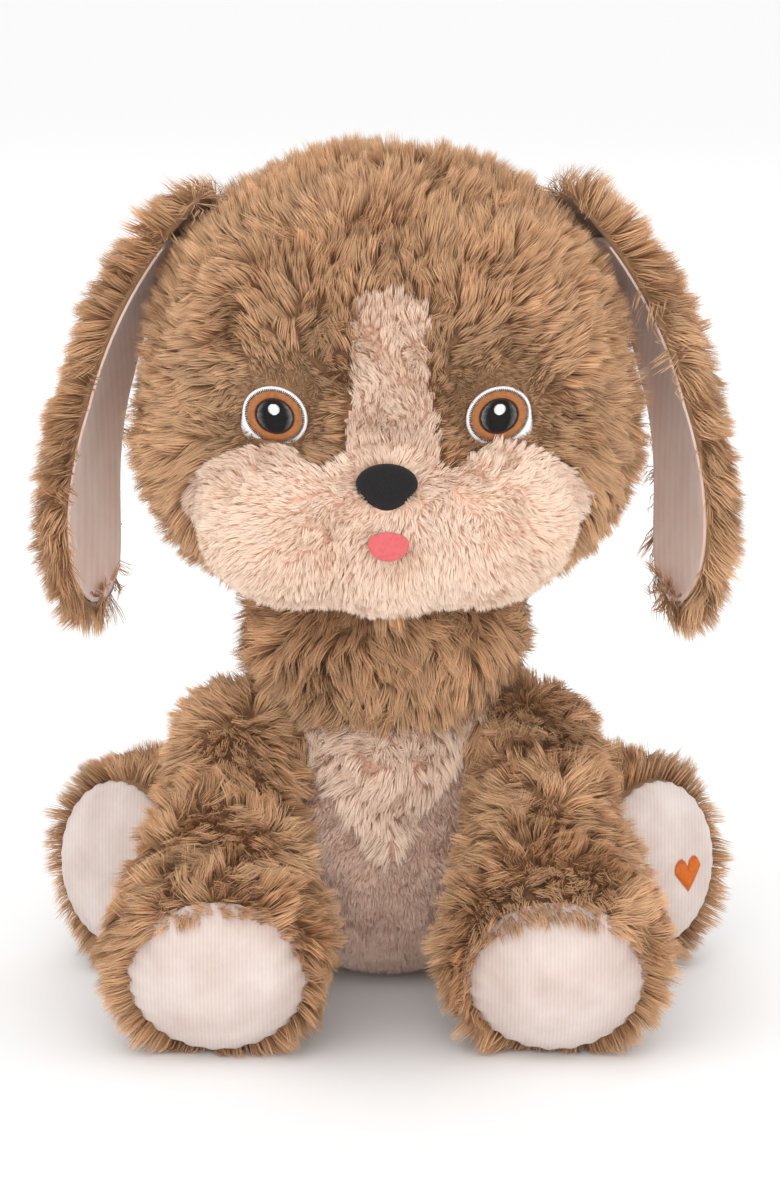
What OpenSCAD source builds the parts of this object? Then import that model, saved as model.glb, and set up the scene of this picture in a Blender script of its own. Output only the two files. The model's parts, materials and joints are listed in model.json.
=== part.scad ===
// Seated plush dog: pile covers over stuffing, embroidered eyes, a flocked nose,
// hanging lined ears, long front legs with velvet toe caps and hind legs with velvet soles.
// It faces -Y, +X is its left side, and it sits on z = 0.

/* [Head] */
// Width of the head across the cheeks
head_w = 156; // [146:1:160]
// Height of the head, from chin to crown
head_h = 134; // [128:1:136]
// Height of the head's centre above the seat
head_z = 204; // [200:1:210]
// Width of the strip that runs from the nose over the crown to the nape
gusset_w = 26; // [16:1:36]
// Height at which the pale part of that strip ends
blaze_top_z = 236; // [220:1:250]

/* [Muzzle] */
// Width of the muzzle
muzzle_w = 114; // [90:1:120]
// Height of the muzzle
muzzle_h = 54; // [46:1:56]
// Height of the muzzle's centre
muzzle_z = 162; // [158:1:164]

/* [Face] */
// Distance between the eyes' centres
eye_gap = 70; // [60:1:80]
// Height of the eyes' centres
eye_z = 199; // [198:1:206]
// Diameter of the white of an eye
eye_d = 20.4; // [16:0.1:22]
// Diameter of the brown ring of an eye
iris_d = 18.6; // [14:0.1:20]
// Diameter of the pupil
pupil_d = 12; // [8:0.1:13]
// Diameter of the white glint
glint_d = 4; // [2:0.1:5]
// Width of the nose
nose_w = 20; // [14:0.5:24]
// Width of the tongue
tongue_w = 13; // [8:0.5:16]
// Length of the tongue that shows
tongue_h = 11; // [8:0.5:14]

/* [Ears] */
// Height of a hanging ear, from its root to its tip
ear_len = 133; // [110:1:140]
// Greatest width of an ear
ear_w = 66; // [50:1:76]
// How far an ear's front edge is turned outwards, in degrees
ear_yaw = 14; // [6:1:20]

/* [Neck] */
// Diameter of the round neck
neck_d = 83; // [76:1:84]
// Height of the neck's centre, about which the head turns and nods
neck_z = 116; // [114:1:118]

/* [Body] */
// Diameter of the body at its widest
body_d = 96; // [92:1:97]
// Height of the body
body_h = 102; // [98:1:104]

/* [Front legs] */
// Distance between the shoulders' centres
shoulder_gap = 98; // [98:1:102]
// Height of the shoulders' centres
shoulder_z = 82; // [78:1:83]
// Diameter of a front leg at the shoulder
shoulder_d = 38; // [32:1:38]
// Diameter of a front paw
paw_d = 67; // [60:1:68]
// How far in front of the shoulder the paw's centre stands
paw_reach = 66; // [64:1:74]

/* [Hind legs] */
// Distance between the hips' centres
hip_gap = 108; // [106:1:114]
// Diameter of a hind leg at the hip
hip_d = 63; // [58:1:63]
// Diameter of a hind foot
foot_d = 72; // [68:1:74]
// Length of a hind leg from the hip's centre to the sole
leg_len = 54; // [50:1:60]
// How far a hind leg is turned outwards from straight ahead, in degrees
leg_splay = 45; // [45:1:52]

/* [Tail] */
// Length of the tail
tail_len = 34; // [24:1:40]
// Diameter of the tail at its root
tail_d = 22; // [16:1:24]

/* [Cloth] */
// Thickness of a pile cover
cover_t = 4; // [3:0.5:5]
// Thickness of the ribbed ear lining
lining_t = 2.5; // [1.5:0.5:3]

/* [Hidden] */
$fn = 64;

seam = 0.2;         // gap between pieces that are sewn to each other
free = 0.6;         // gap round a part that turns in its socket
over = 1;           // how far a cutting shape runs past what it cuts
far = 400;          // longer than the whole dog

brown = [0.60, 0.47, 0.34];
cream = [0.92, 0.80, 0.70];
velvet = [0.90, 0.84, 0.80];
filling = [0.97, 0.97, 0.95];

head_pos = [0, 2, head_z];
muzzle_pos = [0, -50, muzzle_z];
muzzle_back_y = -40;
muzzle_top_z = muzzle_z + muzzle_h / 2 - 1.5;
neck_pos = [0, 4, neck_z];
neck_low_z = neck_z - 32;
neck_high_z = neck_z + 34;
body_pos = [0, 10, 0];
body_sink = 4;      // how much of the lower round end the flat seat cuts off
bib_half_w = 33;
bib_top_z = 101;
bib_tip_z = 50;
bib_back_y = -10;
belly_half_w = 24;
belly_back_y = 18;  // the belly panel runs on under the seat

eye_t = 1.6;
iris_t = 0.8;
glint_t = 0.5;
eye_yaw = 20;
eye_y = -59.2;      // back of the white of an eye
eye_pocket = 20;    // length of the pocket for an eye through the head's cover
glint_up = 2.6;     // how far the glint stands above the pupil's centre

nose_pos = [0, -67.5, 181];
nose_lift = 25;     // how far the nose points up, in degrees
nose_flat = 0.4;    // half the nose's height, as a share of its width
post_d = 5;
post_len = 14;
washer_d = 11;
washer_t = 1.5;
washer_at = 1.2;    // distance of the washer from the post's inner end
tongue_t = 1.6;
tongue_z = 157;     // lowest point of the tongue

ear_mid_r = 138.7;  // the seam between an ear's two layers, about a line along Y
ear_arc_pos = [-35.5, 156.5];
ear_cover_t = 5;
ear_root_a = 45.5;  // place of the root on the arc, in degrees above level
ear_root_w = 30;
lining_inset = 2;   // how far the ear's lining stops short of its outline
ear_hinge = [ear_arc_pos[0] + ear_mid_r * cos(ear_root_a), 0,
             ear_arc_pos[1] + ear_mid_r * sin(ear_root_a)];

shoulder_pos = [shoulder_gap / 2, -14, shoulder_z];
wrist_d = 42;
wrist_at = 45;      // distance of the wrist from the shoulder
paw_pos = [shoulder_gap / 2 + 4, shoulder_pos[1] - paw_reach, paw_d / 2 - 0.6];
cap_dip = 20;       // how far the toe cap faces down, in degrees
cap_depth = 19;     // distance of the cap's seam from the paw's centre
arm_vec = paw_pos - shoulder_pos;
arm_len = norm(arm_vec);
arm_raise = 40;     // how far a front leg can be raised, in degrees
arm_step = 20;      // steps in which its way up is cut into the body's side

foot_at = 34;       // distance of the foot's centre from the hip's centre
leg_rise = 7;       // how far a hind leg points up, in degrees
hip_pos = [hip_gap / 2, 31, foot_d / 2 - foot_at * sin(leg_rise)];
motif_pos = [7, -3];
motif_r = 3.6;      // radius of the heart's round shoulders
motif_t = 0.8;

tail_pos = [0, body_pos[1] + body_d / 2 + 2, 26];
tail_tip_d = tail_d - 4;
tail_rise = 35;
tail_cover_t = cover_t - 1;

bag_pos = [0, body_pos[1], 9.4];
bag_r = 24;
bag_h = 12;
bag_t = 0.8;

module right_half() { translate([0, -far]) square([far, 2 * far]); }

// Two circles, r1 at 0 and r2 at len along Y, joined by straight sides. Where they taper, the
// sides lie a hair inside the tangents, so that sides and circles cross cleanly.
module teardrop(r1, r2, len) {
    slope = asin((r2 - r1) / len);
    side = (r1 == r2 ? 1 : 0.995) * [cos(slope), -sin(slope)];
    circle(r1);
    translate([0, len]) circle(r2);
    polygon([
        [-r1 * side[0], r1 * side[1]], [r1 * side[0], r1 * side[1]],
        [r2 * side[0], len + r2 * side[1]], [-r2 * side[0], len + r2 * side[1]]
    ]);
}

// A solid of revolution about Z, of a flat outline that is symmetric about Y
module turned() { rotate_extrude() intersection() { children(); right_half(); } }

// A round body of radius r with its long axis along X
module wide_pill(half_w, r) {
    rotate([0, 90, 0]) turned() translate([0, r - half_w]) teardrop(r, r, 2 * (half_w - r));
}

module block(low, high) {
    translate(low) cube(high - low);
}

module above(z) { block([-far, -far, z], [far, far, far]); }
module left_of(x) { block([x, -far, -far], [far, far, far]); }
module strip(half_w) { block([-half_w, -far, -far], [half_w, far, far]); }

module ball(pos, r) { translate(pos) sphere(r = r); }
module side_ball(pos, r) { translate(pos) rotate([0, 90, 0]) sphere(r = r); }
module back_ball(pos, r) { translate(pos) rotate([90, 0, 0]) sphere(r = r); }
module neck_socket() { ball(neck_pos, neck_d / 2 + free); }

module mirrored(side) {
    if (side < 0) mirror([1, 0, 0]) children();
    else children();
}

// ---- Head ----

module head_solid(inset) {
    translate(head_pos) wide_pill(head_w / 2 - inset, head_h / 2 - inset);
}

// Space of the muzzle, cut out of the head's lower front
module muzzle_space(gap) {
    block([-far, -far, -far], [far, muzzle_back_y + gap, muzzle_top_z + gap]);
}

module head_shell() {
    difference() {
        head_solid(0);
        head_solid(cover_t);
        muzzle_space(seam);
        neck_socket();
    }
}

module blaze_space(gap) {
    half = gusset_w / 2 + gap;
    block([-half, -far, muzzle_top_z - gap], [half, head_pos[1] + gap, blaze_top_z + gap]);
}

module head_side(side) {
    color(brown) difference() {
        intersection() {
            head_shell();
            mirrored(side) left_of(gusset_w / 2 + seam);
        }
        eye_frame(side) cylinder(h = eye_pocket, d = eye_d + 2 * seam);
    }
}

module head_left_panel() { head_side(1); }
module head_right_panel() { head_side(-1); }

module head_gusset() {
    color(brown) difference() {
        intersection() { head_shell(); strip(gusset_w / 2); }
        blaze_space(seam);
        chin_space(seam);
    }
}

module chin_space(gap) {
    block([-far, -far, -far], [far, head_pos[1] + gap, muzzle_z + gap]);
}

module chin_panel() {
    color(brown) intersection() { head_shell(); strip(gusset_w / 2); chin_space(0); }
}

module face_blaze() {
    color(cream) intersection() { head_shell(); blaze_space(0); }
}

module head_stuffing() {
    color(filling) difference() {
        head_solid(cover_t + seam);
        muzzle_space(seam);
        neck_socket();
    }
}

// ---- Muzzle ----

module muzzle_solid(inset) {
    intersection() {
        translate(muzzle_pos) wide_pill(muzzle_w / 2 - inset, muzzle_h / 2 - inset);
        muzzle_space(0);
    }
}

module nose_frame() { translate(nose_pos) rotate([90 - nose_lift, 0, 0]) children(); }

module post_space() {
    nose_frame() translate([0, 0, -post_len]) cylinder(h = 1.5 * post_len, d = post_d + seam);
}

module washer_space() {
    nose_frame() translate([0, 0, washer_at - post_len - seam])
        cylinder(h = washer_t + 2 * seam, d = washer_d + 2 * seam);
}

module muzzle_cover() {
    color(cream) difference() {
        muzzle_solid(0);
        muzzle_solid(cover_t);
        post_space();
        neck_socket();
    }
}

module muzzle_stuffing() {
    color(filling) difference() {
        muzzle_solid(cover_t + seam);
        post_space();
        washer_space();
        neck_socket();
    }
}

module nose_cap() {
    half = [nose_w, nose_w * nose_flat, nose_w];
    color([0.05, 0.05, 0.05]) nose_frame() intersection() {
        sphere(d = nose_w);
        block([-half[0], -half[1], 0], half);
    }
}

module nose_post() {
    color([0.10, 0.10, 0.10]) nose_frame()
        translate([0, 0, -post_len]) cylinder(h = post_len, d = post_d);
}

module nose_washer() {
    color([0.85, 0.85, 0.82]) nose_frame() translate([0, 0, washer_at - post_len]) difference() {
        cylinder(h = washer_t, d = washer_d);
        translate([0, 0, -over]) cylinder(h = washer_t + 2 * over, d = post_d);
    }
}

module tongue() {
    color([0.88, 0.42, 0.43])
        translate([0, muzzle_pos[1] - muzzle_h / 2 - seam, tongue_z + tongue_w / 2])
        rotate([90, 0, 0]) linear_extrude(height = tongue_t) union() {
            circle(d = tongue_w);
            translate([-tongue_w / 2, 0]) square([tongue_w, tongue_h - tongue_w / 2]);
        }
}

// ---- Eyes: satin stitch in layers, each on the one before ----

module eye_frame(side) {
    mirrored(side) translate([eye_gap / 2, eye_y, eye_z])
        rotate([0, 0, eye_yaw]) rotate([90, 0, 0]) children();
}

module eye_white(side) {
    color([0.96, 0.96, 0.95]) eye_frame(side) cylinder(h = eye_t, d = eye_d);
}

module eye_iris(side) {
    color([0.55, 0.32, 0.18]) eye_frame(side) translate([0, 0, eye_t]) difference() {
        cylinder(h = iris_t, d = iris_d);
        translate([0, 0, -over]) cylinder(h = iris_t + 2 * over, d = pupil_d);
    }
}

module eye_pupil(side) {
    color([0.10, 0.09, 0.09]) eye_frame(side) translate([0, 0, eye_t])
        cylinder(h = iris_t, d = pupil_d);
}

module eye_glint(side) {
    color([1, 1, 1]) eye_frame(side) translate([0, glint_up, eye_t + iris_t])
        cylinder(h = glint_t, d = glint_d);
}

module left_eye_white() { eye_white(1); }
module left_eye_iris() { eye_iris(1); }
module left_eye_pupil() { eye_pupil(1); }
module left_eye_glint() { eye_glint(1); }
module right_eye_white() { eye_white(-1); }
module right_eye_iris() { eye_iris(-1); }
module right_eye_pupil() { eye_pupil(-1); }
module right_eye_glint() { eye_glint(-1); }

// ---- Ears: a curved leaf in two layers that hangs from a rolled root ----

// Outline of the leaf, seen from the side: narrow at the root, widest low down
module leaf(inset) {
    low_r = ear_w / 2;
    root_r = ear_root_w / 2;
    top = ear_hinge[2];
    rotate([90, 0, 90]) linear_extrude(height = far) intersection() {
        translate([0, top]) mirror([0, 1])
            teardrop(root_r - inset, low_r - inset, ear_len - low_r);
        translate([-far, top - far]) square([2 * far, far]);
    }
}

// Part of a round wall about the ear's arc, between two radii
module ear_wall(r_in, r_out) {
    translate([ear_arc_pos[0], 0, ear_arc_pos[1]]) rotate([90, 180, 0])
        translate([0, 0, -ear_w]) difference() {
            cylinder(h = 2 * ear_w, r = r_out);
            translate([0, 0, -over]) cylinder(h = 2 * (ear_w + over), r = r_in);
        }
}

module ear_frame(side) {
    mirrored(side) translate(ear_hinge) rotate([0, 0, ear_yaw]) translate(-ear_hinge) children();
}

module ear_cover(side) {
    color(brown) ear_frame(side) intersection() {
        ear_wall(ear_mid_r + seam, ear_mid_r + ear_cover_t);
        leaf(0);
    }
}

module ear_lining(side) {
    color(velvet) ear_frame(side) intersection() {
        ear_wall(ear_mid_r - lining_t, ear_mid_r);
        leaf(lining_inset);
    }
}

module left_ear_cover() { ear_cover(1); }
module left_ear_lining() { ear_lining(1); }
module right_ear_cover() { ear_cover(-1); }
module right_ear_lining() { ear_lining(-1); }

// ---- Neck ----

module neck_zone(r) {
    intersection() {
        ball(neck_pos, r);
        block([-far, -far, neck_low_z], [far, far, neck_high_z]);
    }
}

module neck_cover() {
    color(brown) difference() {
        neck_zone(neck_d / 2);
        ball(neck_pos, neck_d / 2 - cover_t);
    }
}

module neck_stuffing() { color(filling) neck_zone(neck_d / 2 - cover_t - seam); }

// ---- Body ----

module body_solid(inset) {
    r = body_d / 2;
    intersection() {
        translate(body_pos + [0, 0, r - body_sink]) turned()
            teardrop(r - inset, r - inset, body_h + body_sink - body_d);
        above(inset);
    }
}

module limb_sockets() {
    neck_socket();
    back_ball(tail_pos, tail_d / 2 + 4 * free);
    for (side = [-1, 1]) {
        arm_hollow(side);
        leg_frame(side) turned() teardrop(hip_d / 2 + free, foot_d / 2 + free, foot_at);
    }
}

module body_shell() {
    difference() {
        body_solid(0);
        body_solid(cover_t);
        limb_sockets();
    }
}

module front_prism(back_y, points) {
    translate([0, back_y, 0]) rotate([90, 0, 0])
        linear_extrude(height = far) polygon(points);
}

module bib_space(gap) {
    front_prism(bib_back_y, [
        [-bib_half_w - gap, bib_top_z + gap], [0, bib_tip_z - 1.5 * gap],
        [bib_half_w + gap, bib_top_z + gap]
    ]);
}

module belly_space(gap) {
    side_z = bib_tip_z + belly_half_w * (bib_top_z - bib_tip_z) / bib_half_w;
    front_prism(belly_back_y + gap, [
        [-belly_half_w - gap, -over], [belly_half_w + gap, -over],
        [belly_half_w + gap, side_z], [0, bib_tip_z], [-belly_half_w - gap, side_z]
    ]);
}

module torso_side(side) {
    color(brown) difference() {
        intersection() { body_shell(); mirrored(side) left_of(seam / 2); }
        bib_space(seam);
        belly_space(seam);
    }
}

module torso_left_panel() { torso_side(1); }
module torso_right_panel() { torso_side(-1); }

module chest_bib() {
    color(cream) intersection() { body_shell(); bib_space(0); }
}

module belly_panel() {
    color([0.90, 0.76, 0.68]) difference() {
        intersection() { body_shell(); belly_space(0); }
        bib_space(seam);
    }
}

module bag_solid(inset) {
    translate(bag_pos + [0, 0, inset]) cylinder(h = bag_h - 2 * inset, r = bag_r - inset);
}

module torso_stuffing() {
    color(filling) difference() {
        body_solid(cover_t + seam);
        limb_sockets();
        translate(bag_pos - [0, 0, over]) cylinder(h = bag_h + over + seam, r = bag_r + seam);
    }
}

module bean_bag() {
    color([0.80, 0.80, 0.78]) difference() { bag_solid(0); bag_solid(bag_t); }
}

module bean_fill() { color([0.70, 0.75, 0.80]) bag_solid(bag_t + seam / 2); }

// ---- Front legs ----

// Local Z runs from the shoulder to the paw, which is raised by this many degrees
module arm_frame(side, raise = 0) {
    mirrored(side) translate(shoulder_pos) rotate([-raise, 0, 0])
        rotate([0, acos(arm_vec[2] / arm_len), atan2(arm_vec[1], arm_vec[0])]) children();
}

// The hollow in the body's side that a front leg lies in and swings up through
module arm_hollow(side) {
    mirrored(side) side_ball(shoulder_pos, shoulder_d / 2 + free);
    for (raise = [0:arm_step:arm_raise]) arm_frame(side, raise)
        cylinder(h = wrist_at, r1 = shoulder_d / 2 + 2 * free, r2 = wrist_d / 2 + 2 * free);
}

module arm_solid(side, inset) {
    intersection() {
        arm_frame(side) turned() {
            teardrop(shoulder_d / 2 - inset, wrist_d / 2 - inset, wrist_at);
            translate([0, wrist_at])
                teardrop(wrist_d / 2 - inset, paw_d / 2 - inset, arm_len - wrist_at);
        }
        above(inset);
    }
}

module cap_space(side, gap) {
    mirrored(side) translate(paw_pos) rotate([90 + cap_dip, 0, 0])
        translate([-far / 2, -far / 2, cap_depth + gap]) cube(far);
}

module paw_ball(side, inset) { mirrored(side) side_ball(paw_pos, paw_d / 2 - inset); }

module arm_cover(side) {
    color(brown) difference() {
        arm_solid(side, 0);
        arm_solid(side, cover_t);
        cap_space(side, -seam);
    }
}

module paw_cap(side) {
    color(velvet) difference() {
        intersection() { paw_ball(side, 0); cap_space(side, 0); above(0); }
        paw_ball(side, cover_t);
    }
}

module arm_stuffing(side) { color(filling) arm_solid(side, cover_t + seam); }

module left_arm_cover() { arm_cover(1); }
module left_arm_stuffing() { arm_stuffing(1); }
module left_paw_cap() { paw_cap(1); }
module right_arm_cover() { arm_cover(-1); }
module right_arm_stuffing() { arm_stuffing(-1); }
module right_paw_cap() { paw_cap(-1); }

// ---- Hind legs ----

// Local Z runs from the hip to the sole
module leg_frame(side) {
    mirrored(side) translate(hip_pos) rotate([0, 0, leg_splay]) rotate([90 - leg_rise, 0, 0]) children();
}

module leg_part(side, inset, from, to) {
    leg_frame(side) turned() intersection() {
        teardrop(hip_d / 2 - inset, foot_d / 2 - inset, foot_at);
        translate([-far, from]) square([2 * far, to - from]);
    }
}

module leg_cover(side) {
    color(brown) difference() {
        leg_part(side, 0, -far, leg_len - cover_t - seam);
        leg_part(side, cover_t, -far, leg_len);
    }
}

module leg_stuffing(side) {
    color(filling) leg_part(side, cover_t + seam, -far, leg_len - cover_t - seam);
}

module sole(side) { color(velvet) leg_part(side, 0, leg_len - cover_t, leg_len); }

module left_leg_cover() { leg_cover(1); }
module left_leg_stuffing() { leg_stuffing(1); }
module left_sole() { sole(1); }
module right_leg_cover() { leg_cover(-1); }
module right_leg_stuffing() { leg_stuffing(-1); }
module right_sole() { sole(-1); }

// A plain stitched heart on the sole of the left hind leg
module sole_motif() {
    r = motif_r;
    color([0.84, 0.43, 0.14]) leg_frame(1) translate([motif_pos[0], motif_pos[1], leg_len])
        linear_extrude(height = motif_t) rotate([0, 0, 45]) union() {
            square(2 * r);
            translate([r, 2 * r]) circle(r = r);
            translate([2 * r, r]) circle(r = r);
        }
}

// ---- Tail ----

module tail_solid(inset) {
    translate(tail_pos) rotate([-90 + tail_rise, 0, 0]) turned()
        teardrop(tail_d / 2 - inset, tail_tip_d / 2 - inset, tail_len);
}

module tail_cover() {
    color(brown) difference() { tail_solid(0); tail_solid(tail_cover_t); }
}

module tail_stuffing() { color(filling) tail_solid(tail_cover_t + seam); }

torso_left_panel();
torso_right_panel();
chest_bib();
belly_panel();
torso_stuffing();
bean_bag();
bean_fill();
neck_cover();
neck_stuffing();
head_left_panel();
head_right_panel();
head_gusset();
face_blaze();
chin_panel();
head_stuffing();
muzzle_cover();
muzzle_stuffing();
left_eye_white();
left_eye_iris();
left_eye_pupil();
left_eye_glint();
right_eye_white();
right_eye_iris();
right_eye_pupil();
right_eye_glint();
nose_cap();
nose_post();
nose_washer();
tongue();
left_ear_cover();
left_ear_lining();
right_ear_cover();
right_ear_lining();
left_arm_cover();
left_arm_stuffing();
left_paw_cap();
right_arm_cover();
right_arm_stuffing();
right_paw_cap();
left_leg_cover();
left_leg_stuffing();
left_sole();
sole_motif();
right_leg_cover();
right_leg_stuffing();
right_sole();
tail_cover();
tail_stuffing();
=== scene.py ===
import json
import math
import bmesh
import bpy
import numpy as np
from mathutils import Matrix, Vector
from mathutils.kdtree import KDTree


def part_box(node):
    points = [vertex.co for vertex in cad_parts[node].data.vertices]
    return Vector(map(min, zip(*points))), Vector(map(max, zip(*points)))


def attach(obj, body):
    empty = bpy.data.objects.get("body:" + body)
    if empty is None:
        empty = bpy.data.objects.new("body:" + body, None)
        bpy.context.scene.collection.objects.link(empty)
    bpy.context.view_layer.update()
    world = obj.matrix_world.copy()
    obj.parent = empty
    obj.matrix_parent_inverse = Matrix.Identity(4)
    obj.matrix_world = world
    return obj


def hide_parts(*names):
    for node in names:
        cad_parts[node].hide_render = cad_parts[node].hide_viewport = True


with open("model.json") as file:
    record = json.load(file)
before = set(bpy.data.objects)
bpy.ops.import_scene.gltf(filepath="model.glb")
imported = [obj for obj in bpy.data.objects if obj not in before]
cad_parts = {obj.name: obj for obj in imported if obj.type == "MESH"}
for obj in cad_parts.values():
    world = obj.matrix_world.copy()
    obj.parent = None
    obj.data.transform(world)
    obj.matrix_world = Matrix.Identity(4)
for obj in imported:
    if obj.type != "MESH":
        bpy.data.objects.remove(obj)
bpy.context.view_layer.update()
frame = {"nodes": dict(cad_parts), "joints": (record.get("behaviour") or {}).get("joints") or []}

MM = 0.001
joint_pos = {j["name"]: Vector(j["pos_m"]) for j in frame["joints"]}

# ---- Studio ----
# A pale seamless floor, one large soft light above the camera and two weaker ones at the
# sides. The camera stands a little above the dog's head and looks slightly down.
view_height = 0.3935
view_distance = 1.5
aim = Vector((0.001, 0, 0.1275))
look_down = math.radians(13)

camera_data = bpy.data.cameras.new("camera")
camera_data.sensor_width = 36
camera_data.lens = camera_data.sensor_width * view_distance / view_height
camera_data.clip_end = 50
camera = bpy.data.objects.new("camera", camera_data)
bpy.context.scene.collection.objects.link(camera)
back = Vector((0, -math.cos(look_down), math.sin(look_down)))
camera.location = aim + back * view_distance
camera.rotation_mode = "QUATERNION"
camera.rotation_quaternion = (-back).to_track_quat("-Z", "Y")
bpy.context.scene.camera = camera
bpy.context.scene.view_settings.view_transform = "Standard"

for name, place, size, power in (
    ("key_light", (-0.5, -1.3, 1.1), 1.6, 8),
    ("fill_light", (0.5, -1.7, 0.12), 1.2, 13),
    ("back_light", (0.2, 1.3, 1.2), 1.2, 4),
):
    light_data = bpy.data.lights.new(name, "AREA")
    light_data.size = size
    light_data.energy = power
    light = bpy.data.objects.new(name, light_data)
    bpy.context.scene.collection.objects.link(light)
    light.location = place
    light.rotation_mode = "QUATERNION"
    light.rotation_quaternion = (Vector((0, 0, 0.14)) - light.location).to_track_quat("-Z", "Y")

world = bpy.data.worlds.new("studio")
bpy.context.scene.world = world
world.use_nodes = True
world.node_tree.nodes["Background"].inputs["Color"].default_value = (1, 1, 1, 1)
world.node_tree.nodes["Background"].inputs["Strength"].default_value = 1.0


def plain_material(name, colour, roughness, sheen=0.0):
    """A Principled material with its plain numbers set; returns it, its nodes and its shader."""
    material = bpy.data.materials.new(name)
    material.use_nodes = True
    nodes = material.node_tree.nodes
    shader = nodes["Principled BSDF"]
    shader.inputs["Base Color"].default_value = (*colour, 1)
    shader.inputs["Roughness"].default_value = roughness
    shader.inputs["Sheen Weight"].default_value = sheen
    shader.inputs["Sheen Roughness"].default_value = 0.5
    shader.inputs["Specular IOR Level"].default_value = 0.25
    return material, nodes, shader


def piece_from(bm, name, material, smooth=True):
    """Makes a bmesh into an object of the scene, with one material."""
    mesh = bpy.data.meshes.new(name)
    bm.to_mesh(mesh)
    bm.free()
    mesh.shade_smooth() if smooth else mesh.shade_flat()
    mesh.materials.append(material)
    piece = bpy.data.objects.new(name, mesh)
    bpy.context.scene.collection.objects.link(piece)
    return piece


floor_material = plain_material("floor_paper", (0.95, 0.95, 0.95), 0.9)[0]
bm = bmesh.new()
bmesh.ops.create_grid(bm, x_segments=1, y_segments=1, size=20)
bmesh.ops.translate(bm, verts=bm.verts, vec=(0, 0, -0.0003))
piece_from(bm, "floor", floor_material)

# ---- Stuffed forms ----
# Each part of the dog is a sewn bag of woven backing, stuffed full of polyester. The bags are
# round balls and ovals run into each other, smoothed where the stuffing bridges them, and flat
# where they rest on the floor. They stand for the stuffing and carry the pile.
voxel = 4.2 * MM
floor_z = 0.4 * MM
backing = {}
for cloth, colour in (("brown", (0.28, 0.155, 0.08)), ("cream", (0.86, 0.60, 0.46))):
    backing[cloth] = plain_material(cloth + "_backing", colour, 0.95, 0.2)[0]


def applied(piece):
    """Puts a piece's modifiers into its mesh."""
    bpy.context.view_layer.update()
    depsgraph = bpy.context.evaluated_depsgraph_get()
    mesh = bpy.data.meshes.new_from_object(piece.evaluated_get(depsgraph))
    piece.modifiers.clear()
    piece.data = mesh
    return piece


scratch = bpy.data.meshes.new("scratch")


def add_ellipsoid(bm, matrix, u_segments, v_segments):
    """Adds a unit ball under a matrix. It is made apart, since adding to a big form is slow."""
    one = bmesh.new()
    bmesh.ops.create_uvsphere(one, u_segments=u_segments, v_segments=v_segments, radius=1, matrix=matrix)
    one.to_mesh(scratch)
    one.free()
    bm.from_mesh(scratch)


def ball(bm, centre, radii):
    """Adds one ball or oval to a form; centre and radii in millimetres."""
    size = Matrix.Diagonal((*(r * MM for r in radii), 1))
    add_ellipsoid(bm, Matrix.Translation(Vector(centre) * MM) @ size, 40, 20)


def limb(bm, start, end, radii):
    """Adds a run of balls between two points in millimetres, with radii spread evenly along it."""
    start, end = Vector(start), Vector(end)
    steps = 18
    for i in range(steps + 1):
        t = i / steps
        r = float(np.interp(t, np.linspace(0, 1, len(radii)), radii))
        ball(bm, start.lerp(end, t), (r, r, r))


def inflated(piece, pressure, most):
    """Pumps up a closed bag with Cloth, moving no point by more than this, and applies it."""
    scene = bpy.context.scene
    zoom = 20
    before = [vertex.co.copy() for vertex in piece.data.vertices]
    for vertex in piece.data.vertices:
        vertex.co *= zoom
    cloth = piece.modifiers.new("fill", "CLOTH")
    cloth.settings.quality = 4
    cloth.settings.tension_stiffness = 40
    cloth.settings.compression_stiffness = 40
    cloth.settings.bending_stiffness = 2
    cloth.settings.use_pressure = True
    cloth.settings.uniform_pressure_force = pressure
    cloth.settings.effector_weights.gravity = 0
    cloth.point_cache.frame_start = 1
    cloth.point_cache.frame_end = 20
    for step in range(1, 21):
        scene.frame_set(step)
    applied(piece)
    scene.frame_set(1)
    for vertex, start in zip(piece.data.vertices, before):
        move = vertex.co / zoom - start
        vertex.co = start + move * min(most / max(move.length, 1e-9), 1)


def stuffed(bm, name, smoothing, pale=None):
    """Merges a form's balls into one closed bag, fills it and sets it on the floor."""
    piece = piece_from(bm, name, backing["brown"])
    remesh = piece.modifiers.new("merge", "REMESH")
    remesh.mode = "VOXEL"
    remesh.voxel_size = voxel
    smooth = piece.modifiers.new("smooth", "SMOOTH")
    smooth.factor = 0.6
    smooth.iterations = smoothing
    applied(piece)
    inflated(piece, 4, 1.5 * MM)
    subdivide = piece.modifiers.new("round", "SUBSURF")
    subdivide.levels = subdivide.render_levels = 1
    applied(piece)
    for vertex in piece.data.vertices:
        vertex.co.z = max(vertex.co.z, floor_z)
    piece.data.shade_smooth()
    if pale is not None:
        piece.data.materials.append(backing["cream"])
        centres = np.array([face.center for face in piece.data.polygons])
        piece.data.polygons.foreach_set("material_index", pale(centres).astype(np.int32))
    return piece


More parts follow.
